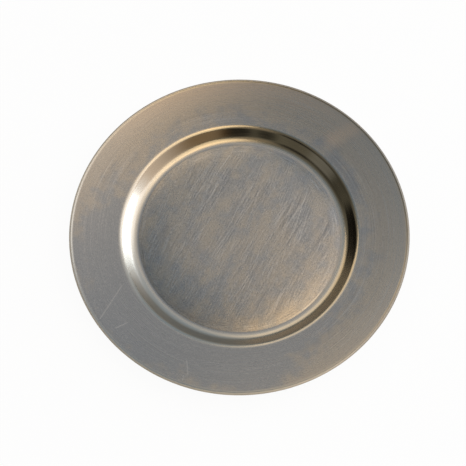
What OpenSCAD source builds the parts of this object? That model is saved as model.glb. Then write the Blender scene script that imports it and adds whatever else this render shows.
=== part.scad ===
// Charger plate: a wide-rimmed round plate pressed from one metal sheet.
// Its edge is rolled over a stiffening wire, and small feet are stuck under the floor.
// The origin is on the table, below the centre of the plate, and +Z points up.

/* [Plate] */
// Overall diameter, across the rolled edge
plate_d = 330; // [280:1:380]
// Thickness of the pressed sheet
sheet_t = 0.8; // [0.5:0.1:1.2]

/* [Rim] */
// Width of the rim, from the shoulder of the well to the outer edge
rim_w = 47; // [30:1:60]
// Rise of the rim where it leaves the shoulder, in degrees
rim_angle = 7.5; // [0:0.5:20]
// Rise of the rim at its outer edge, in degrees
edge_angle = 12.5; // [0:0.5:25]

/* [Well] */
// Depth of the well, from its shoulder to the floor
well_depth = 10.4; // [6:0.1:20]
// Slope of the wall of the well, in degrees
wall_angle = 43; // [30:1:60]
// Radius of the bend between the floor and the wall
floor_bend_r = 12.5; // [2:0.5:18]
// Radius of the shoulder between the wall and the rim
shoulder_r = 8; // [2:0.5:14]
// Width of the flat ring around the floor
land_w = 0.8; // [0.4:0.2:8]
// Height of the middle of the floor above the flat ring
floor_crown = 3; // [0:0.1:4]
// How late the floor curves down: 2 is an even curve, and more keeps the middle flatter
crown_power = 5; // [2:1:8]

/* [Rolled edge] */
// How much steeper the lip gets than the rim before it goes over into the roll, in degrees
lip_turn = 25; // [5:1:40]
// Radius of the bend between the rim and the lip
lip_r = 3; // [1:0.5:8]
// Diameter of the wire inside the rolled edge
wire_d = 1.2; // [1:0.1:4]
// Clearance all round the wire
wire_clearance = 0.05; // [0.02:0.01:0.2]
// Opening left between the end of the roll and the underside of the rim
roll_gap = 0.5; // [0.3:0.1:0.8]
// Distance between the two ends of the wire
wire_end_gap = 1; // [0.5:0.1:3]

/* [Feet] */
// Number of feet
foot_count = 4; // [3:1:8]
// Diameter of a foot where it is stuck to the floor
foot_d = 10; // [6:0.5:16]
// Width of the bevel around the lower face of a foot
foot_bevel = 0.8; // [0.2:0.1:1]
// Height of the flat ring above the table
stand_h = 1.5; // [1.2:0.1:4]
// Distance from a foot to the edge of the floor
foot_inset = 5; // [2:1:15]

/* [Hidden] */
$fn = 128;

// Straight pieces that stand for each bend, for the crown, for the rim, for the lip and for the roll
bend_steps = 12;
crown_steps = 16;
rim_steps = 8;
lip_steps = 6;
roll_steps = 36;

// Both bends get smaller where they would take more than this part of the depth of the well
largest_bend_part = 0.9;
wanted_bend_rise = floor_bend_r * (1 - cos(wall_angle)) + shoulder_r * (cos(rim_angle) - cos(wall_angle));
bend_share = min(1, largest_bend_part * well_depth / wanted_bend_rise);
floor_bend = floor_bend_r * bend_share;
shoulder = shoulder_r * bend_share;

// Straight part of the wall between its two bends
floor_bend_rise = floor_bend * (1 - cos(wall_angle));
shoulder_rise = shoulder * (cos(rim_angle) - cos(wall_angle));
wall_length = (well_depth - floor_bend_rise - shoulder_rise) / sin(wall_angle);

// Radii on the upper face of the sheet, from the rim in to the floor
well_r = plate_d / 2 - rim_w;
shoulder_run = shoulder * (sin(wall_angle) - sin(rim_angle));
wall_run = wall_length * cos(wall_angle);
land_r = well_r - shoulder_run - wall_run - floor_bend * sin(wall_angle);
floor_r = land_r - land_w;

// Heights of the upper face at the flat ring and at the shoulder
land_z = stand_h + sheet_t;
wall_top_z = land_z + floor_bend_rise + wall_length * sin(wall_angle);
rim_z = land_z + well_depth;

// Centres of the two bends of the wall
floor_bend_centre = [land_r, land_z + floor_bend];
wall_top = [well_r - shoulder_run, wall_top_z];
shoulder_centre = wall_top + shoulder * [sin(wall_angle), -cos(wall_angle)];

// The rim gets steeper evenly from the shoulder to the lip, which bends up into the roll.
// The roll lies against the wire and stops short of the underside of the lip.
lip_angle = edge_angle + lip_turn;
roll_r = wire_d / 2 + wire_clearance + sheet_t;
roll_x = plate_d / 2 - roll_r;
lip_centre_x = roll_x - (roll_r + lip_r) * sin(lip_angle);
rim_end_x = lip_centre_x + lip_r * sin(edge_angle);
rim_run = rim_end_x - well_r;
rim_end_z = rim_z + rim_run * (tan(rim_angle) + tan(edge_angle)) / 2;
lip_centre = [lip_centre_x, rim_end_z + lip_r * cos(edge_angle)];
roll_centre = [roll_x, lip_centre[1] - (lip_r + roll_r) * cos(lip_angle)];
roll_turn = 360 - acos((roll_r - sheet_t - roll_gap) / roll_r);

// Part of the turn that the gap between the ends of the wire takes
wire_gap_turn = 360 * wire_end_gap / (2 * PI * roll_x);

// The feet stand on a circle inside the edge of the floor
foot_circle_r = floor_r - foot_inset - foot_d / 2;

// Points of an arc about a centre, from one angle to another
function arc(centre, radius, from, to, steps) = [
    for (i = [0:steps])
        let (angle = from + (to - from) * i / steps)
            centre + radius * [cos(angle), sin(angle)]
];

// Points of the crowned floor, from the axis to its edge, at a depth below the upper face
function floor_face(depth) = [
    for (i = [0:crown_steps])
        let (share = i / crown_steps)
            [floor_r * share, land_z - depth + floor_crown * (1 - pow(share, crown_power))]
];

// Points of the rim between the shoulder and the lip
function rim_face(depth) = [
    for (i = [1:rim_steps - 1])
        let (
            share = i / rim_steps,
            slope = tan(rim_angle) + (tan(edge_angle) - tan(rim_angle)) * share,
            rise = rim_run * share * (tan(rim_angle) + slope) / 2
        )
            [well_r + rim_run * share, rim_z + rise] + depth * [sin(atan(slope)), -cos(atan(slope))]
];

// Points of one face of the sheet, from the axis to the end of the roll
function sheet_face(depth) = concat(
    floor_face(depth),
    arc(floor_bend_centre, floor_bend + depth, -90, wall_angle - 90, bend_steps),
    arc(shoulder_centre, shoulder - depth, 90 + wall_angle, 90 + rim_angle, bend_steps),
    rim_face(depth),
    arc(lip_centre, lip_r + depth, edge_angle - 90, lip_angle - 90, lip_steps),
    arc(roll_centre, roll_r - depth, 90 + lip_angle, 90 + lip_angle - roll_turn, roll_steps)
);

function reversed(points) = [for (i = [len(points) - 1:-1:0]) points[i]];

// The sheet: floor, flat ring, wall, shoulder, rim, lip and rolled edge
module pressed_plate() {
    color("tan")
        rotate_extrude()
            polygon(concat(sheet_face(0), reversed(sheet_face(sheet_t))));
}

// The wire inside the rolled edge, bent to a ring whose ends nearly meet
module edge_wire() {
    color("silver")
        rotate([0, 0, 90 + wire_gap_turn / 2])
            rotate_extrude(angle = 360 - wire_gap_turn)
                translate(roll_centre)
                    circle(d = wire_d);
}

// The space between the table and the underside of the floor
module under_floor() {
    rotate_extrude()
        polygon(concat(floor_face(sheet_t), [[floor_r, 0], [0, 0]]));
}

// One foot, bevelled at the table and taller than the space it is cut to
module foot_blank() {
    cylinder(d1 = foot_d - 2 * foot_bevel, d2 = foot_d, h = foot_bevel);
    translate([0, 0, foot_bevel])
        cylinder(d = foot_d, h = stand_h + floor_crown);
}

// The feet, each one fitting the underside of the floor
module rubber_feet() {
    color("dimgray")
        for (i = [0:foot_count - 1])
            intersection() {
                rotate([0, 0, 360 * (i + 0.5) / foot_count])
                    translate([foot_circle_r, 0, 0])
                        foot_blank();
                under_floor();
            }
}

pressed_plate();
edge_wire();
rubber_feet();
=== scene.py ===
"""A brushed metal charger plate on a pale floor: meshes, finishes, studio light and camera."""

import math

import bpy
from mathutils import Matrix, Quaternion, Vector


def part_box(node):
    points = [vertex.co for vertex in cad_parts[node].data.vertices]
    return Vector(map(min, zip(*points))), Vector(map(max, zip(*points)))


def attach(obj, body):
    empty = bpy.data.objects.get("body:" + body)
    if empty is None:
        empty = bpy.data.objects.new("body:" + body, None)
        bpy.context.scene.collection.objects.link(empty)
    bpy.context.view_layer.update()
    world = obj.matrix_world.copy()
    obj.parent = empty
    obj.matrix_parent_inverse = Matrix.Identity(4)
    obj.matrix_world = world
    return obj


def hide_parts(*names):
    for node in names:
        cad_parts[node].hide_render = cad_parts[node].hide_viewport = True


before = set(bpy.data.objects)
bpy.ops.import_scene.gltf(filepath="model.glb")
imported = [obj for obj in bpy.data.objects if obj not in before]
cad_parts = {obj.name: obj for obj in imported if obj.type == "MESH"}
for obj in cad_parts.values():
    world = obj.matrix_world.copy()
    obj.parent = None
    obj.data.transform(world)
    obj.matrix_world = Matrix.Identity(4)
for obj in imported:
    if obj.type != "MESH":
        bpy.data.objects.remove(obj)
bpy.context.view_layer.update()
plate_low, plate_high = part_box("pressed_plate")

# Sizes of the sheet in metres, as in the solid model
MM = 0.001
PLATE_R = min(plate_high.x, plate_high.y, -plate_low.x, -plate_low.y)
SHEET_T = 0.8 * MM
RIM_W = 47 * MM
RIM_ANGLE = math.radians(7.5)
EDGE_ANGLE = math.radians(12.5)
WELL_DEPTH = 10.4 * MM
WALL_ANGLE = math.radians(43)
FLOOR_BEND_R = 12.5 * MM
SHOULDER_R = 8 * MM
LAND_W = 0.8 * MM
FLOOR_CROWN = 3 * MM
CROWN_POWER = 5
LIP_TURN = math.radians(25)
LIP_R = 3 * MM
WIRE_D = 1.2 * MM
WIRE_CLEARANCE = 0.05 * MM
ROLL_GAP = 0.5 * MM

# Radii and heights on the upper face, worked out as in the solid model
LAND_Z = plate_low.z + SHEET_T
WELL_R = PLATE_R - RIM_W
FLOOR_BEND_RISE = FLOOR_BEND_R * (1 - math.cos(WALL_ANGLE))
SHOULDER_RISE = SHOULDER_R * (math.cos(RIM_ANGLE) - math.cos(WALL_ANGLE))
WALL_LENGTH = (WELL_DEPTH - FLOOR_BEND_RISE - SHOULDER_RISE) / math.sin(WALL_ANGLE)
WALL_TOP_R = WELL_R - SHOULDER_R * (math.sin(WALL_ANGLE) - math.sin(RIM_ANGLE))
WALL_TOP_Z = LAND_Z + FLOOR_BEND_RISE + WALL_LENGTH * math.sin(WALL_ANGLE)
LAND_R = WALL_TOP_R - WALL_LENGTH * math.cos(WALL_ANGLE) - FLOOR_BEND_R * math.sin(WALL_ANGLE)
FLOOR_R = LAND_R - LAND_W
LIP_ANGLE = EDGE_ANGLE + LIP_TURN
ROLL_R = WIRE_D / 2 + WIRE_CLEARANCE + SHEET_T
ROLL_X = PLATE_R - ROLL_R
RIM_Z = LAND_Z + WELL_DEPTH
LIP_X = ROLL_X - (ROLL_R + LIP_R) * math.sin(LIP_ANGLE)
RIM_RUN = LIP_X + LIP_R * math.sin(EDGE_ANGLE) - WELL_R
RIM_RISE = RIM_RUN * (math.tan(RIM_ANGLE) + math.tan(EDGE_ANGLE)) / 2
LIP_Z = RIM_Z + RIM_RISE + LIP_R * math.cos(EDGE_ANGLE)
ROLL_Z = LIP_Z - (LIP_R + ROLL_R) * math.cos(LIP_ANGLE)
ROLL_TURN = math.tau - math.acos((ROLL_R - SHEET_T - ROLL_GAP) / ROLL_R)

# Mesh fineness
SEGMENTS = 256
FLOOR_STEPS = 32
BEND_STEPS = 14
STRAIGHT_STEPS = 6
RIM_STEPS = 24
LIP_STEPS = 8
ROLL_STEPS = 36

# A point of a profile with a smaller radius lies on the axis
ON_AXIS = 1e-9

# Directions of the floor's brush marks in degrees from +X, the main one first
FLOOR_STROKES = (63, 70, 56)

# Name of the UV map that follows the brush marks
BRUSH_MAP = "brush"


def arc(centre, radius, start, end, steps):
    """Points of an arc about a centre, from one angle to another."""
    angles = [start + (end - start) * i / steps for i in range(steps + 1)]
    return [(centre[0] + radius * math.cos(a), centre[1] + radius * math.sin(a)) for a in angles]


def between(first, last, steps):
    """Points inside a straight line, without its two ends."""
    shares = [i / steps for i in range(1, steps)]
    return [tuple(a + (b - a) * s for a, b in zip(first, last)) for s in shares]


def floor_face(depth):
    """Points of the crowned floor, from the axis to its edge, at a depth below the upper face."""
    shares = [i / FLOOR_STEPS for i in range(FLOOR_STEPS + 1)]
    return [(FLOOR_R * s, LAND_Z - depth + FLOOR_CROWN * (1 - s**CROWN_POWER)) for s in shares]


def rim_face(depth):
    """Points of the rim between the shoulder and the lip, where it gets steeper evenly."""
    first_slope, last_slope = math.tan(RIM_ANGLE), math.tan(EDGE_ANGLE)
    points = []
    for i in range(1, RIM_STEPS):
        share = i / RIM_STEPS
        slope = first_slope + (last_slope - first_slope) * share
        radius = WELL_R + RIM_RUN * share
        height = RIM_Z + RIM_RUN * share * (first_slope + slope) / 2
        tilt = math.atan(slope)
        points.append((radius + depth * math.sin(tilt), height - depth * math.cos(tilt)))
    return points


def turned_face(depth):
    """Points of the flat ring, wall, shoulder, rim, lip and roll, from the floor's edge outwards."""
    quarter = math.pi / 2
    bend_centre = (LAND_R, LAND_Z + FLOOR_BEND_R)
    shoulder_centre = (
        WALL_TOP_R + SHOULDER_R * math.sin(WALL_ANGLE),
        WALL_TOP_Z - SHOULDER_R * math.cos(WALL_ANGLE),
    )
    above_wall = WALL_ANGLE + quarter
    above_lip = LIP_ANGLE + quarter
    bend = arc(bend_centre, FLOOR_BEND_R + depth, -quarter, WALL_ANGLE - quarter, BEND_STEPS)
    shoulder = arc(shoulder_centre, SHOULDER_R - depth, above_wall, RIM_ANGLE + quarter, BEND_STEPS)
    lip = arc((LIP_X, LIP_Z), LIP_R + depth, EDGE_ANGLE - quarter, LIP_ANGLE - quarter, LIP_STEPS)
    roll = arc((ROLL_X, ROLL_Z), ROLL_R - depth, above_lip, above_lip - ROLL_TURN, ROLL_STEPS)
    land = between((FLOOR_R, LAND_Z - depth), bend[0], STRAIGHT_STEPS)
    wall = between(bend[-1], shoulder[0], STRAIGHT_STEPS)
    return land + bend + wall + shoulder + rim_face(depth) + lip[:-1] + roll


def straight_uv(point):
    """Places a point of the floor across and along its straight brush marks."""
    angle = math.radians(FLOOR_STROKES[0])
    x, y = point[0], point[1]
    along = x * math.cos(angle) + y * math.sin(angle)
    across = y * math.cos(angle) - x * math.sin(angle)
    return across, along


def round_uv(length, step):
    """Places a point by its length along the profile and its step round the axis."""
    return length, PLATE_R * math.tau * step / SEGMENTS


def turned_rings(profile):
    """Vertices of a profile turned about Z, and the numbers of the vertices of each closed ring."""
    vertices = []
    rings = []
    for radius, height in profile:
        first = len(vertices)
        if radius < ON_AXIS:
            rings.append([first] * (SEGMENTS + 1))
            vertices.append((0, 0, height))
            continue
        rings.append(list(range(first, first + SEGMENTS)) + [first])
        for j in range(SEGMENTS):
            angle = math.tau * j / SEGMENTS
            vertices.append((radius * math.cos(angle), radius * math.sin(angle), height))
    return vertices, rings


def strip_faces(inner, outer, length, next_length):
    """Faces between two rings. A corner has a vertex, a length along the profile and a step round."""
    faces = []
    for j in range(SEGMENTS):
        corners = [(inner[j], length, j), (outer[j], next_length, j)]
        corners += [(outer[j + 1], next_length, j + 1), (inner[j + 1], length, j + 1)]
        if inner[j] == inner[j + 1]:
            corners.pop()
        if outer[j] == outer[j + 1]:
            corners.pop(1)
        faces.append(corners)
    return faces


def sharpen(mesh, rings):
    """Gives a mesh a sharp edge along each of some rings of vertices."""
    ring_of = {vertex: k for k, ring in enumerate(rings) for vertex in ring}
    for edge in mesh.edges:
        start, end = edge.vertices
        edge.use_edge_sharp = start in ring_of and ring_of[start] == ring_of.get(end)


def lathe(name, profile, strip_materials, materials, flat_until, creases):
    """A closed mesh turned about Z from a profile that starts and ends on the axis.

    Its UV map runs across the brush marks in U and along them in V.
    Up to the strip flat_until the marks are straight, and further on they go round the axis.
    The rings named in creases keep a sharp edge.
    """
    vertices, rings = turned_rings(profile)
    faces = []
    face_materials = []
    face_uvs = []
    length = 0.0
    for k, (inner, outer) in enumerate(zip(rings, rings[1:])):
        next_length = length + math.dist(profile[k], profile[k + 1])
        for corners in strip_faces(inner, outer, length, next_length):
            faces.append([vertex for vertex, _, _ in corners])
            face_materials.append(strip_materials[k])
            if k < flat_until:
                face_uvs += [straight_uv(vertices[vertex]) for vertex, _, _ in corners]
            else:
                face_uvs += [round_uv(corner_length, step) for _, corner_length, step in corners]
        length = next_length

    mesh = bpy.data.meshes.new(name)
    mesh.from_pydata(vertices, [], faces)
    mesh.shade_smooth()
    for material in materials:
        mesh.materials.append(material)
    mesh.polygons.foreach_set("material_index", face_materials)
    sharpen(mesh, [rings[k] for k in creases])
    layer = mesh.uv_layers.new(name=BRUSH_MAP)
    for loop, uv in zip(layer.data, face_uvs):
        loop.uv = uv
    made = bpy.data.objects.new(name, mesh)
    bpy.context.scene.collection.objects.link(made)
    return made


# Places of the sockets of a mix node, for numbers and for colours
MIX_NUMBERS = (2, 3)
MIX_COLOURS = (6, 7)
MIXED_COLOUR = 2

# Depth of a bump of full strength
BUMP_DEPTH = 0.1 * MM


class Graph:
    """Short calls that build the nodes of a material or of the surroundings."""

    def __init__(self, owner, coordinates):
        owner.use_nodes = True
        self.tree = owner.node_tree
        self.place = self.node("TexCoord").outputs[coordinates]

    def node(self, kind, inputs=None, **settings):
        """A new node with its settings and inputs."""
        made = self.tree.nodes.new("ShaderNode" + kind)
        for key, value in settings.items():
            setattr(made, key, value)
        for key, value in (inputs or {}).items():
            self.put(made.inputs[key], value)
        return made

    def put(self, socket, value):
        """Links an output to a socket, or sets a plain value on it."""
        if isinstance(value, bpy.types.NodeSocket):
            self.tree.links.new(value, socket)
        else:
            socket.default_value = value

    def math(self, operation, first, second=0.0):
        """The result of a sum or the like of two numbers."""
        return self.node("Math", {0: first, 1: second}, operation=operation).outputs[0]

    def plus(self, first, second):
        return self.math("ADD", first, second)

    def minus(self, first, second):
        return self.math("SUBTRACT", first, second)

    def times(self, first, second):
        return self.math("MULTIPLY", first, second)

    def over(self, first, second):
        return self.math("DIVIDE", first, second)

    def length(self, x, y):
        """Length of a flat vector."""
        return self.math("SQRT", self.plus(self.times(x, x), self.times(y, y)))

    def vector(self, x, y, z):
        """A vector from three numbers."""
        return self.node("CombineXYZ", {0: x, 1: y, 2: z}).outputs[0]

    def scaled(self, by):
        """The place on the object, with all its coordinates times a number."""
        return self.node("VectorMath", {0: self.place, "Scale": by}, operation="SCALE").outputs[0]

    def noise(self, vector, detail=2.0, rough=0.5):
        """Noise from 0 to 1 at a place, with spots of about one unit."""
        inputs = {"Vector": vector, "Scale": 1.0, "Detail": detail, "Roughness": rough}
        return self.node("TexNoise", inputs).outputs[0]

    def even_noise(self, size, detail=2.0, rough=0.5):
        """Noise with spots of one size in every direction."""
        return self.noise(self.scaled(1 / size), detail, rough)

    def span(self, value, low, high, to_low=0.0, to_high=1.0):
        """Maps a range of a value to another range, smoothly and with limits."""
        inputs = {0: value, 1: low, 2: high, 3: to_low, 4: to_high}
        return self.node("MapRange", inputs, interpolation_type="SMOOTHSTEP").outputs[0]

    def mix(self, factor, first, second):
        """A number between two numbers."""
        first_socket, second_socket = MIX_NUMBERS
        return self.node("Mix", {0: factor, first_socket: first, second_socket: second}).outputs[0]

    def blend(self, factor, first, second, mode="MIX"):
        """A colour between two colours, or their sum in the mode ADD."""
        first_socket, second_socket = MIX_COLOURS
        inputs = {0: factor, first_socket: first, second_socket: second}
        return self.node("Mix", inputs, data_type="RGBA", blend_type=mode).outputs[MIXED_COLOUR]


class MaterialGraph(Graph):
    """Short calls that build the nodes of one material, in the coordinates of its object."""

    def __init__(self, name):
        self.material = bpy.data.materials.new(name)
        super().__init__(self.material, "Object")
        self.shader = self.tree.nodes["Principled BSDF"]
        self.x, self.y, _ = self.node("SeparateXYZ", {0: self.place}).outputs

    def brush(self, anisotropy):
        """Spreads reflections across the brush marks of the UV map."""
        tangent = self.node("Tangent", direction_type="UV_MAP", uv_map=BRUSH_MAP).outputs[0]
        self.put(self.shader.inputs["Tangent"], tangent)
        self.shader.inputs["Anisotropic"].default_value = anisotropy

    def finish(self, colour, roughness, height, bump, metallic=1.0):
        """Connects colour, roughness and bumps to the shader, and gives the material."""
        self.put(self.shader.inputs["Base Color"], colour)
        self.put(self.shader.inputs["Roughness"], roughness)
        self.shader.inputs["Metallic"].default_value = metallic
        inputs = {"Strength": bump, "Distance": BUMP_DEPTH, "Height": height}
        self.put(self.shader.inputs["Normal"], self.node("Bump", inputs).outputs[0])
        return self.material


# Colours of the metal, from darkened to bare, and of the painted highlight on the wall and the
# painted light on the edge
SMOKE = (0.135, 0.126, 0.118, 1)
PEWTER = (0.218, 0.202, 0.183, 1)
BRONZE = (0.29, 0.24, 0.185, 1)
EDGE_WEAR = (0.37, 0.325, 0.265, 1)
BRASS = (0.4, 0.352, 0.3, 1)
COPPER = (0.43, 0.31, 0.215, 1)
POLISHED = (0.43, 0.37, 0.29, 1)
# Painted highlight: a lighter wall at the left, where it mirrors the lamps at the right
PAINTED_WALL_HIGHLIGHT = (0.56, 0.5, 0.42, 1)
# Lighter outside of the roll at the front left: partly bare wear, partly painted light over its shade
BARE_EDGE_AND_PAINTED_LIGHT = (0.62, 0.56, 0.48, 1)

# Darker and lighter colours of the zinc on the wire and of the rubber
DARK_ZINC = (0.36, 0.37, 0.38, 1)
LIGHT_ZINC = (0.56, 0.56, 0.55, 1)
DARK_RUBBER = (0.03, 0.028, 0.026, 1)
LIGHT_RUBBER = (0.07, 0.066, 0.06, 1)

# Sizes of the brush marks, of bundles of them, of patches and of grain
STROKE_WIDTHS = (0.7 * MM, 1.1 * MM, 1.9 * MM)
STROKE_LENGTH = 75 * MM
BUNDLE_WIDTH = 17 * MM
BUNDLE_LENGTH = 70 * MM
CLOUD_WIDTH = 20 * MM
CLOUD_LENGTH = 45 * MM
MOTTLE = 13 * MM
GRAIN = 1.1 * MM
UNDER_STROKE_WIDTH = 1.4 * MM
UNDER_CLOUD = 40 * MM
ZINC_SPECKLE = 1.6 * MM
RUBBER_GRAIN = 0.4 * MM

# How far the brush marks sway to each side, and how quickly
SWAY = 0.8 * MM
SWAYS_PER_METRE = 15.0

# How much fine detail the noise has
SWAY_DETAIL = 1.0
CLOUD_DETAIL = 4.0
MOTTLE_DETAIL = 5.0
MOTTLE_FINENESS = 0.55
GRAIN_DETAIL = 1.0
UNDER_CLOUD_DETAIL = 3.0

# Middle of the noise
NOISE_MIDDLE = 0.5

# Shifts that keep noise of one kind from repeating
SWAY_SHIFT = 5.0
STRAIGHT_SHIFT = 3.0
ROUND_SHIFT = 50.0
BUNDLE_SHIFT = 9.0

# Ranges of the noise over which one look goes over into another
PATINA = (0.38, 0.6)
BUNDLED = (0.4, 0.62)
DARK_STROKE = (0.48, 0.25)
LIGHT_STROKE = (0.52, 0.75)
DARK_GRAIN = (0.5, 0.2)
LIGHT_GRAIN = (0.5, 0.8)
RIDGES = (0.35, 0.65)
UNDER_RANGE = (0.25, 0.75)
SPECKLES = (0.3, 0.7)

# Strengths of the marks and bumps, where 1 is full.
# The brush marks of the rim get weaker from the first to the second number at the front left.
BETWEEN_BUNDLES = 0.1
LIGHT_GRAIN_PART = 0.7
FLOOR_STROKE_STRENGTH = 0.6
FLOOR_GRAIN_STRENGTH = 0.8
RIM_STROKE_STRENGTHS = (0.25, 0.08)
RIM_GRAIN_STRENGTH = 0.45
OUTER_BRASS = 0.25
BACK_COPPER = 0.35
RUBBED_STRENGTH = 0.55
SCRATCH_STRENGTH = 0.6
FLOOR_BUMP = 0.15
SMALL_BUMP = 0.1
RUBBER_BUMP = 0.2

# Roughness at the low and the high end of the noise, and where it is even
BRUSHED_ROUGHNESS = (0.31, 0.25)
WALL_ROUGHNESS = (0.26, 0.17)
UNDER_ROUGHNESS = (0.5, 0.4)
ZINC_ROUGHNESS = (0.3, 0.45)
RUBBER_ROUGHNESS = (0.6, 0.8)
LIP_ROUGHNESS = 0.36
OUTSIDE_ROUGHNESS = 0.65

# How much the brush marks draw out the reflections
ANISOTROPY = 0.4

# Change of the roughness of the wall at the front left and at the back right
FRONT_WALL_ROUGHER = 0.1
BACK_WALL_ROUGHER = -0.055

# Change of the patches' tone from the shoulder to the edge, and from the back right to the front
# left, where the greyer tone is partly patina and partly a painted cool reflection
EDGE_TONES = (-0.15, 0.4)
FRONT_TONES = (0.1, -0.6)

# Radii over which a finish comes in, or goes out where the larger radius is named first
ROUND_STROKES = (FLOOR_R - 6 * MM, FLOOR_R + 2 * MM)
POLISH_STARTS = (LAND_R - 1 * MM, LAND_R + 4 * MM)
SMOOTH_STARTS = (LAND_R + 1 * MM, LAND_R + 8 * MM)
# Radii of the painted highlight on the wall
PAINTED_HIGHLIGHT_STARTS = (LAND_R + 5 * MM, LAND_R + 8 * MM)
PAINTED_HIGHLIGHT_ENDS = (WALL_TOP_R + 2 * MM, WALL_TOP_R - 1 * MM)
WALL_ENDS = (WELL_R + 1 * MM, WELL_R - 3 * MM)
WHOLE_RIM = (WELL_R + 4 * MM, ROLL_X)
OUTER_RIM = (WELL_R + 17 * MM, ROLL_X)
LIP = (ROLL_X - 3 * MM, ROLL_X - 1 * MM)
OUTSIDE = (ROLL_X - 0.2 * MM, ROLL_X + 0.6 * MM)

# How far the patches shift the radius at which straight brush marks turn into round ones
ROUND_UNEVENNESS = 12 * MM

# Direction from the middle to the front left, where the rim is greyer, partly with a painted cool
# reflection, and the edge is bare and lighter, partly with painted light
FRONT_LEFT = (-0.64, -0.77)

# Ranges of the side, which is 1 at the front left and -1 at the back right
GREY_SIDE = (0.1, 0.8)
FAINT_SIDE = (0.0, 0.9)
BARE_SIDE = (-0.2, 0.6)
DULL_SIDE = (0.6, 0.9)
SMOOTH_SIDE = (-0.7, -0.2)

# Ranges of Y over the radius at the back, and of X over the radius at the left, where the wall gets
# its painted highlight
BACK = (0.5, 1.0)
LEFT = (-0.75, -0.95)

# Ends of the scratches on the rim and of the rubbed place at the back right, in millimetres
SCRATCHES = (
    ((-114, -52), (-134, -87)),
    ((-119, -96), (-108, -90)),
    ((-53, -129), (-52, -143)),
    ((-56, -144), (-57, -149)),
)
SCRATCH_WIDTH = 0.7 * MM
RUBBED_PLACE = ((97, 96), (120, 106))
RUBBED_WIDTH = 14 * MM


def radius_of(graph):
    """Distance from the axis."""
    return graph.length(graph.x, graph.y)


def side_of(graph, radius):
    """One at the front left of the plate, falling to minus one at the back right."""
    x, y = FRONT_LEFT
    return graph.over(graph.plus(graph.times(graph.x, x), graph.times(graph.y, y)), radius)


def sway_of(graph, shift):
    """A gentle sway, to keep brush marks from being perfectly straight or round."""
    inputs = {0: graph.scaled(SWAYS_PER_METRE), 1: (shift, shift, shift)}
    moved = graph.node("VectorMath", inputs).outputs[0]
    return graph.times(graph.minus(graph.noise(moved, SWAY_DETAIL), NOISE_MIDDLE), 2 * SWAY)


def sways_of(graph):
    """One sway for each width of brush marks."""
    return [sway_of(graph, SWAY_SHIFT * i) for i in range(len(STROKE_WIDTHS))]


def straight_marks(graph, angle, sway, width, length, shift=0.0):
    """A place for noise that is drawn out along straight brush marks."""
    cos, sin = math.cos(math.radians(angle)), math.sin(math.radians(angle))
    across = graph.minus(graph.times(graph.y, cos), graph.times(graph.x, sin))
    along = graph.plus(graph.times(graph.x, cos), graph.times(graph.y, sin))
    across = graph.plus(across, sway)
    return graph.vector(graph.times(across, 1 / width), graph.times(along, 1 / length), shift)


def round_marks(graph, radius, sway, width, length, shift=0.0):
    """A place for noise that is drawn out along circles about the axis."""
    across = graph.times(graph.plus(radius, sway), 1 / width)
    around = graph.over(WELL_R / length, radius)
    x, y = graph.times(graph.x, around), graph.times(graph.y, around)
    return graph.vector(graph.plus(across, shift), x, y)


def near_line(graph, ends, width):
    """One on a straight line between two places, falling to zero at a width beside it."""
    (x0, y0), (x1, y1) = [(x * MM, y * MM) for x, y in ends]
    dx, dy = x1 - x0, y1 - y0
    square = dx * dx + dy * dy
    x, y = graph.minus(graph.x, x0), graph.minus(graph.y, y0)
    along = graph.plus(graph.times(x, dx / square), graph.times(y, dy / square))
    along = graph.node("Clamp", {0: along}).outputs[0]
    off_x = graph.minus(x, graph.times(along, dx))
    off_y = graph.minus(y, graph.times(along, dy))
    return graph.span(graph.length(off_x, off_y), width, 0.0)


def brushed(graph, tone, strokes, bundles, strength, grain_strength):
    """Colour, roughness and height of darkened metal with brush marks in bundles and a fine grain."""
    mottle = graph.even_noise(MOTTLE, MOTTLE_DETAIL, MOTTLE_FINENESS)
    mean_tone = graph.times(graph.plus(tone, mottle), 1 / 2)
    colour = graph.blend(graph.span(mean_tone, *PATINA), PEWTER, BRONZE)
    strength = graph.times(graph.span(bundles, *BUNDLED, BETWEEN_BUNDLES, 1.0), strength)
    height = 0.0
    for stroke in strokes:
        dark = graph.times(graph.span(stroke, *DARK_STROKE), strength)
        light = graph.times(graph.span(stroke, *LIGHT_STROKE), strength)
        colour = graph.blend(light, graph.blend(dark, colour, SMOKE), BRASS)
        height = graph.plus(graph.times(stroke, 1 / len(strokes)), height)
    grain = graph.even_noise(GRAIN, GRAIN_DETAIL)
    dark_grain = graph.span(grain, *DARK_GRAIN, 0.0, grain_strength)
    light_grain = graph.span(grain, *LIGHT_GRAIN, 0.0, LIGHT_GRAIN_PART * grain_strength)
    colour = graph.blend(light_grain, graph.blend(dark_grain, colour, SMOKE), BRASS)
    roughness = graph.span(height, *RIDGES, *BRUSHED_ROUGHNESS)
    return colour, roughness, height


def round_stroke(graph, radius, sways, i):
    """Noise drawn out along circles, as brush marks of one of the widths."""
    place = round_marks(graph, radius, sways[i], STROKE_WIDTHS[i], STROKE_LENGTH, ROUND_SHIFT * i)
    return graph.noise(place)


def straight_stroke(graph, sways, i):
    """Noise drawn out along one of the floor's directions, as brush marks of one of the widths."""
    sizes = (STROKE_WIDTHS[i], STROKE_LENGTH)
    return graph.noise(straight_marks(graph, FLOOR_STROKES[i], sways[i], *sizes, STRAIGHT_SHIFT * i))


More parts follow.
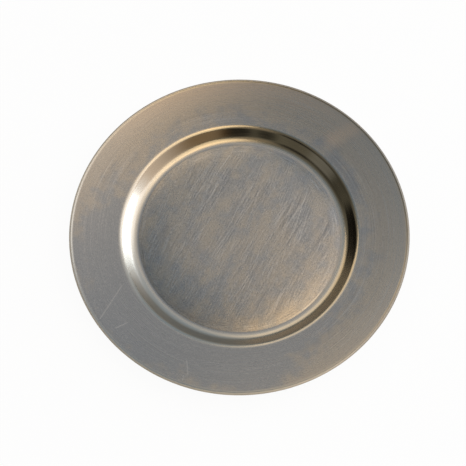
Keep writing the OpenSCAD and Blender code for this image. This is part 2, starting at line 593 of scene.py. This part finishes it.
def floor_metal():
    """Straight brush marks, which turn into round ones near the edge of the floor."""
    graph = MaterialGraph("plate_floor")
    radius = radius_of(graph)
    sways = sways_of(graph)
    main = FLOOR_STROKES[0]
    cloud_place = straight_marks(graph, main, sways[0], CLOUD_WIDTH, CLOUD_LENGTH)
    cloud = graph.noise(cloud_place, CLOUD_DETAIL)
    uneven_radius = graph.plus(radius, graph.times(cloud, ROUND_UNEVENNESS))
    turned = graph.span(uneven_radius, *ROUND_STROKES)
    strokes = []
    for i in range(len(STROKE_WIDTHS)):
        straight = straight_stroke(graph, sways, i)
        strokes.append(graph.mix(turned, straight, round_stroke(graph, radius, sways, i)))
    bundle_place = straight_marks(graph, main, sways[1], BUNDLE_WIDTH, BUNDLE_LENGTH, BUNDLE_SHIFT)
    bundles = graph.noise(bundle_place)
    strengths = (FLOOR_STROKE_STRENGTH, FLOOR_GRAIN_STRENGTH)
    colour, roughness, height = brushed(graph, cloud, strokes, bundles, *strengths)
    graph.brush(ANISOTROPY)
    return graph.finish(colour, roughness, height, FLOOR_BUMP)


def rim_marks(graph, radius, side):
    """Round brush marks and patches, warmer towards the edge and greyer at the front left, partly
    patina and partly a painted cool reflection.
    """
    sways = sways_of(graph)
    cloud_place = round_marks(graph, radius, sways[0], CLOUD_WIDTH, CLOUD_LENGTH)
    cloud = graph.noise(cloud_place, CLOUD_DETAIL)
    warmer = graph.span(radius, *WHOLE_RIM, *EDGE_TONES)
    # Greyer at the front left: partly patina, partly a painted cool reflection
    greyer = graph.span(side, *GREY_SIDE, *FRONT_TONES)
    tone = graph.plus(graph.plus(cloud, warmer), greyer)
    strokes = [round_stroke(graph, radius, sways, i) for i in range(len(STROKE_WIDTHS))]
    bundle_place = round_marks(graph, radius, sways[1], BUNDLE_WIDTH, BUNDLE_LENGTH, BUNDLE_SHIFT)
    bundles = graph.noise(bundle_place)
    strength = graph.span(side, *FAINT_SIDE, *RIM_STROKE_STRENGTHS)
    return brushed(graph, tone, strokes, bundles, strength, RIM_GRAIN_STRENGTH)


def worn_rim(graph, colour, radius, side):
    """Colour of the rim, rubbed towards its edge, with a rubbed place and scratches."""
    outer = graph.span(radius, *OUTER_RIM)
    brass = graph.span(side, *BARE_SIDE, OUTER_BRASS, 0.0)
    copper = graph.span(graph.over(graph.y, radius), *BACK, 0.0, BACK_COPPER)
    colour = graph.blend(graph.times(outer, brass), colour, BRASS)
    colour = graph.blend(graph.times(outer, copper), colour, COPPER)
    rubbed = near_line(graph, RUBBED_PLACE, RUBBED_WIDTH)
    colour = graph.blend(graph.times(rubbed, RUBBED_STRENGTH), colour, COPPER)
    for ends in SCRATCHES:
        scratch = near_line(graph, ends, SCRATCH_WIDTH)
        colour = graph.blend(graph.times(scratch, SCRATCH_STRENGTH), colour, BRASS)
    return colour


def polished_wall_and_painted_highlight(graph, colour, radius):
    """Colour with a polished wall of the well, and a painted highlight on the wall at the left, where
    it mirrors the lamps.
    """
    polished = graph.times(graph.span(radius, *POLISH_STARTS), graph.span(radius, *WALL_ENDS))
    colour = graph.blend(polished, colour, POLISHED)
    # Painted highlight: the wall is made lighter at the left, where it mirrors the lamps at the right
    bright = graph.times(graph.span(radius, *PAINTED_HIGHLIGHT_STARTS), graph.span(radius, *PAINTED_HIGHLIGHT_ENDS))
    left = graph.span(graph.over(graph.x, radius), *LEFT)
    return graph.blend(graph.times(bright, left), colour, PAINTED_WALL_HIGHLIGHT)


def smooth_wall(graph, roughness, height, radius, side):
    """Roughness with a smoother wall, dullest at the front left and smoothest at the back right."""
    smooth = graph.times(graph.span(radius, *SMOOTH_STARTS), graph.span(radius, *WALL_ENDS))
    wall = graph.span(height, *RIDGES, *WALL_ROUGHNESS)
    wall = graph.plus(wall, graph.span(side, *DULL_SIDE, 0.0, FRONT_WALL_ROUGHER))
    wall = graph.plus(wall, graph.span(side, *SMOOTH_SIDE, BACK_WALL_ROUGHER, 0.0))
    return graph.mix(smooth, roughness, wall)


def worn_edge_and_painted_light(graph, colour, roughness, radius, side):
    """Colour and roughness with a worn lip and a dull roll, which is lighter at the front left:
    partly bare wear, partly painted light over its shade.
    """
    lip = graph.span(radius, *LIP)
    outside = graph.span(radius, *OUTSIDE)
    unworn_unlit = graph.times(outside, graph.span(side, *BARE_SIDE, 1.0, 0.0))
    colour = graph.blend(graph.minus(lip, unworn_unlit), colour, EDGE_WEAR)
    # Painted light: the outside of the roll is made lighter at the front left, over its shade, as
    # well as bare
    colour = graph.blend(graph.minus(outside, unworn_unlit), colour, BARE_EDGE_AND_PAINTED_LIGHT)
    roughness = graph.mix(lip, roughness, LIP_ROUGHNESS)
    roughness = graph.mix(outside, roughness, OUTSIDE_ROUGHNESS)
    return colour, roughness


def turned_metal():
    """Round brush marks on the rim, a smoother wall with a painted highlight at the left, a worn edge
    with painted light at the front left, and scratches.
    """
    graph = MaterialGraph("plate_turned")
    radius = radius_of(graph)
    side = side_of(graph, radius)
    colour, roughness, height = rim_marks(graph, radius, side)
    colour = worn_rim(graph, colour, radius, side)
    colour = polished_wall_and_painted_highlight(graph, colour, radius)
    roughness = smooth_wall(graph, roughness, height, radius, side)
    colour, roughness = worn_edge_and_painted_light(graph, colour, roughness, radius, side)
    graph.brush(ANISOTROPY)
    return graph.finish(colour, roughness, height, SMALL_BUMP)


def under_metal():
    """Dull dark metal with soft clouds and fine round marks."""
    graph = MaterialGraph("plate_underside")
    radius = radius_of(graph)
    marks = graph.noise(round_marks(graph, radius, 0.0, UNDER_STROKE_WIDTH, STROKE_LENGTH))
    clouds = graph.even_noise(UNDER_CLOUD, UNDER_CLOUD_DETAIL)
    colour = graph.blend(graph.span(clouds, *UNDER_RANGE), SMOKE, PEWTER)
    roughness = graph.span(marks, *UNDER_RANGE, *UNDER_ROUGHNESS)
    return graph.finish(colour, roughness, marks, SMALL_BUMP)


def wire_metal():
    """Speckled zinc."""
    graph = MaterialGraph("wire_zinc")
    speckle = graph.even_noise(ZINC_SPECKLE)
    colour = graph.blend(speckle, DARK_ZINC, LIGHT_ZINC)
    roughness = graph.span(speckle, *SPECKLES, *ZINC_ROUGHNESS)
    return graph.finish(colour, roughness, speckle, SMALL_BUMP)


def foot_rubber():
    """Matte black rubber with a fine grain."""
    graph = MaterialGraph("foot_rubber")
    grain = graph.even_noise(RUBBER_GRAIN)
    colour = graph.blend(grain, DARK_RUBBER, LIGHT_RUBBER)
    roughness = graph.span(grain, *SPECKLES, *RUBBER_ROUGHNESS)
    return graph.finish(colour, roughness, grain, RUBBER_BUMP, metallic=0.0)


def make_plate():
    """The sheet, with one material each for the floor, the turned part and the underside."""
    upper_floor = floor_face(0)
    upper_turned = turned_face(0)
    lower = (floor_face(SHEET_T) + turned_face(SHEET_T))[::-1]
    profile = upper_floor + upper_turned + lower
    floor_edge = len(upper_floor) - 1
    sheet_end = floor_edge + len(upper_turned)
    strips = [0] * floor_edge + [1] * len(upper_turned) + [2] * len(lower)
    materials = [floor_metal(), turned_metal(), under_metal()]
    creases = (floor_edge, sheet_end, sheet_end + 1)
    plate = lathe("plate_sheet", profile, strips, materials, floor_edge, creases)
    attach(plate, "root")
    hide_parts("pressed_plate")


def dress_nodes():
    """Gives the wire and the feet of the solid model their materials."""
    for name, material in (("edge_wire", wire_metal()), ("rubber_feet", foot_rubber())):
        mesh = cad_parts[name].data
        mesh.materials.clear()
        mesh.materials.append(material)


# Camera: the place it looks at, its height angle and distance from there, its lens and its roll
AIM = Vector((-6.03 * MM, -3.9 * MM, ROLL_Z))
CAMERA_HEIGHT_ANGLE = math.radians(67.85)
CAMERA_DISTANCE = 1.155
CAMERA_LENS = 92.12
CAMERA_ROLL = math.radians(-1.855)

# How far the floor reaches, and how far it lies below the feet, so that no two faces share a place
FLOOR_REACH = 20
FLOOR_GAP = 0.05 * MM

# Colour of the floor, and how much of it is plain white where it is seen. The rest takes the shadow.
WHITE = (1, 1, 1, 1)
FLOOR_GREY = (0.85, 0.85, 0.85, 1)
FLOOR_WHITENESS = 0.95

# Brightness of the surroundings, and their dark and bright patches.
# A patch has an azimuth, an elevation, and the angles at which it ends and is full, in degrees.
# A dark patch also has a depth, from 0 to 1, and a bright one has a colour.
DIM = (0.19, 0.187, 0.15, 1)
BLACK = (0.006, 0.006, 0.006, 1)
DARK_PATCHES = (
    (157, 3, 24, 14, 1.0),
    (190, 30, 26, 10, 0.6),
    (222, 42, 15, 6, 0.9),
    (248, 25, 11, 4, 0.9),
    (270, 27, 14, 7, 0.95),
)
GLOWS = (
    (69, 52, 62, 12, (0.2, 0.374, 0.632, 1)),
    (0, 29, 50, 0, (1.0, 0.87, 0.8, 1)),
    (298, 25, 24, 4, (0.155, 0.07, 0.01, 1)),
    (203, 20, 14, 5, (0.17, 0.18, 0.18, 1)),
    (51, 71, 13, 2, (0.3, 0.24, 0.17, 1)),
    (-8, 14, 12, 2, (0.2, 0.35, 0.5, 1)),
    (257, 54, 16, 4, (0.2, 0.15, 0.1, 1)),
)

# Lamps: name, azimuth and elevation in degrees, width and height in metres, radiance and colour
LAMP_DISTANCE = 2.2
LAMPS = (
    ("key_low", 18.5, 13, 1.6, 0.95, 2.7, (0.7, 0.85, 1)),
    ("key_high", 16, 42, 1.37, 1.1, 1.15, (0.82, 0.9, 1)),
    ("overhead", 57, 66, 1.5, 0.9, 0.61, (1, 0.83, 0.63)),
    ("warm_top", -27, 80.5, 1.0, 0.67, 1.4, (1, 0.71, 0.34)),
    ("warm_front", -40, 68, 1.72, 1.25, 1.38, (1, 0.85, 0.6)),
    ("warm_back", 114, 38, 1.8, 1.25, 1.23, (1, 0.8, 0.52)),
)


def direction(azimuth, elevation):
    """Unit vector to a place around the object, azimuth counted from +X towards +Y."""
    turn, rise = math.radians(azimuth), math.radians(elevation)
    return Vector((math.cos(turn) * math.cos(rise), math.sin(turn) * math.cos(rise), math.sin(rise)))


def softbox(name, azimuth, elevation, width, height, radiance, colour):
    """A rectangular lamp that faces the plate, as bright as radiance says."""
    light = bpy.data.lights.new(name, "AREA")
    light.shape = "RECTANGLE"
    light.size = width
    light.size_y = height
    light.energy = radiance * math.pi * width * height
    light.color = colour
    made = bpy.data.objects.new(name, light)
    made.location = direction(azimuth, elevation) * LAMP_DISTANCE
    made.rotation_euler = direction(azimuth, elevation).to_track_quat("Z", "Y").to_euler()
    made.visible_camera = False
    bpy.context.scene.collection.objects.link(made)


def floor_material():
    """A pale floor that is seen as white and keeps the shadow of the plate."""
    graph = MaterialGraph("studio_floor")
    path = graph.node("LightPath").outputs
    mirrored = graph.math("MAXIMUM", path["Is Glossy Ray"], path["Is Transmission Ray"])
    seen = graph.math("MAXIMUM", path["Is Camera Ray"], mirrored)
    matte = graph.node("BsdfDiffuse", {"Color": FLOOR_GREY}).outputs[0]
    glow = graph.node("Emission", {"Color": WHITE, "Strength": 1.0}).outputs[0]
    share = graph.times(seen, FLOOR_WHITENESS)
    mixed = graph.node("MixShader", {0: share, 1: matte, 2: glow}).outputs[0]
    graph.put(graph.tree.nodes["Material Output"].inputs["Surface"], mixed)
    graph.tree.nodes.remove(graph.shader)
    return graph.material


def make_floor():
    """The floor on which the plate stands."""
    sides = ((-1, -1), (1, -1), (1, 1), (-1, 1))
    corners = [(x * FLOOR_REACH, y * FLOOR_REACH, 0) for x, y in sides]
    mesh = bpy.data.meshes.new("studio_floor")
    mesh.from_pydata(corners, [], [(0, 1, 2, 3)])
    mesh.materials.append(floor_material())
    made = bpy.data.objects.new("studio_floor", mesh)
    made.location.z = -FLOOR_GAP
    bpy.context.scene.collection.objects.link(made)


def patch(graph, azimuth, elevation, end, full, depth=1.0):
    """The depth around one direction, falling to zero at the angle where the patch ends."""
    inputs = {0: graph.place, 1: direction(azimuth, elevation)}
    near = graph.node("VectorMath", inputs, operation="DOT_PRODUCT").outputs["Value"]
    return graph.span(near, math.cos(math.radians(end)), math.cos(math.radians(full)), 0.0, depth)


def make_world():
    """Dim surroundings with soft dark patches and soft glows."""
    world = bpy.data.worlds.new("studio")
    graph = Graph(world, "Generated")
    tint = DIM
    for place_and_depth in DARK_PATCHES:
        tint = graph.blend(patch(graph, *place_and_depth), tint, BLACK)
    for *place, colour in GLOWS:
        tint = graph.blend(patch(graph, *place), tint, colour, "ADD")
    graph.put(graph.tree.nodes["Background"].inputs["Color"], tint)
    bpy.context.scene.world = world


def make_light():
    """The surroundings and the lamps."""
    make_world()
    for lamp in LAMPS:
        softbox(*lamp)


def make_camera():
    """A camera in front of the plate that looks steeply down, turned a little about its own axis."""
    data = bpy.data.cameras.new("camera")
    data.lens = CAMERA_LENS
    made = bpy.data.objects.new("camera", data)
    back = Vector((0, -math.cos(CAMERA_HEIGHT_ANGLE), math.sin(CAMERA_HEIGHT_ANGLE)))
    made.location = AIM + CAMERA_DISTANCE * back
    turn = back.to_track_quat("Z", "Y") @ Quaternion((0, 0, 1), CAMERA_ROLL)
    made.rotation_euler = turn.to_euler()
    bpy.context.scene.collection.objects.link(made)
    bpy.context.scene.camera = made


make_plate()
dress_nodes()
make_floor()
make_light()
make_camera()
bpy.context.scene.view_settings.view_transform = "Standard"
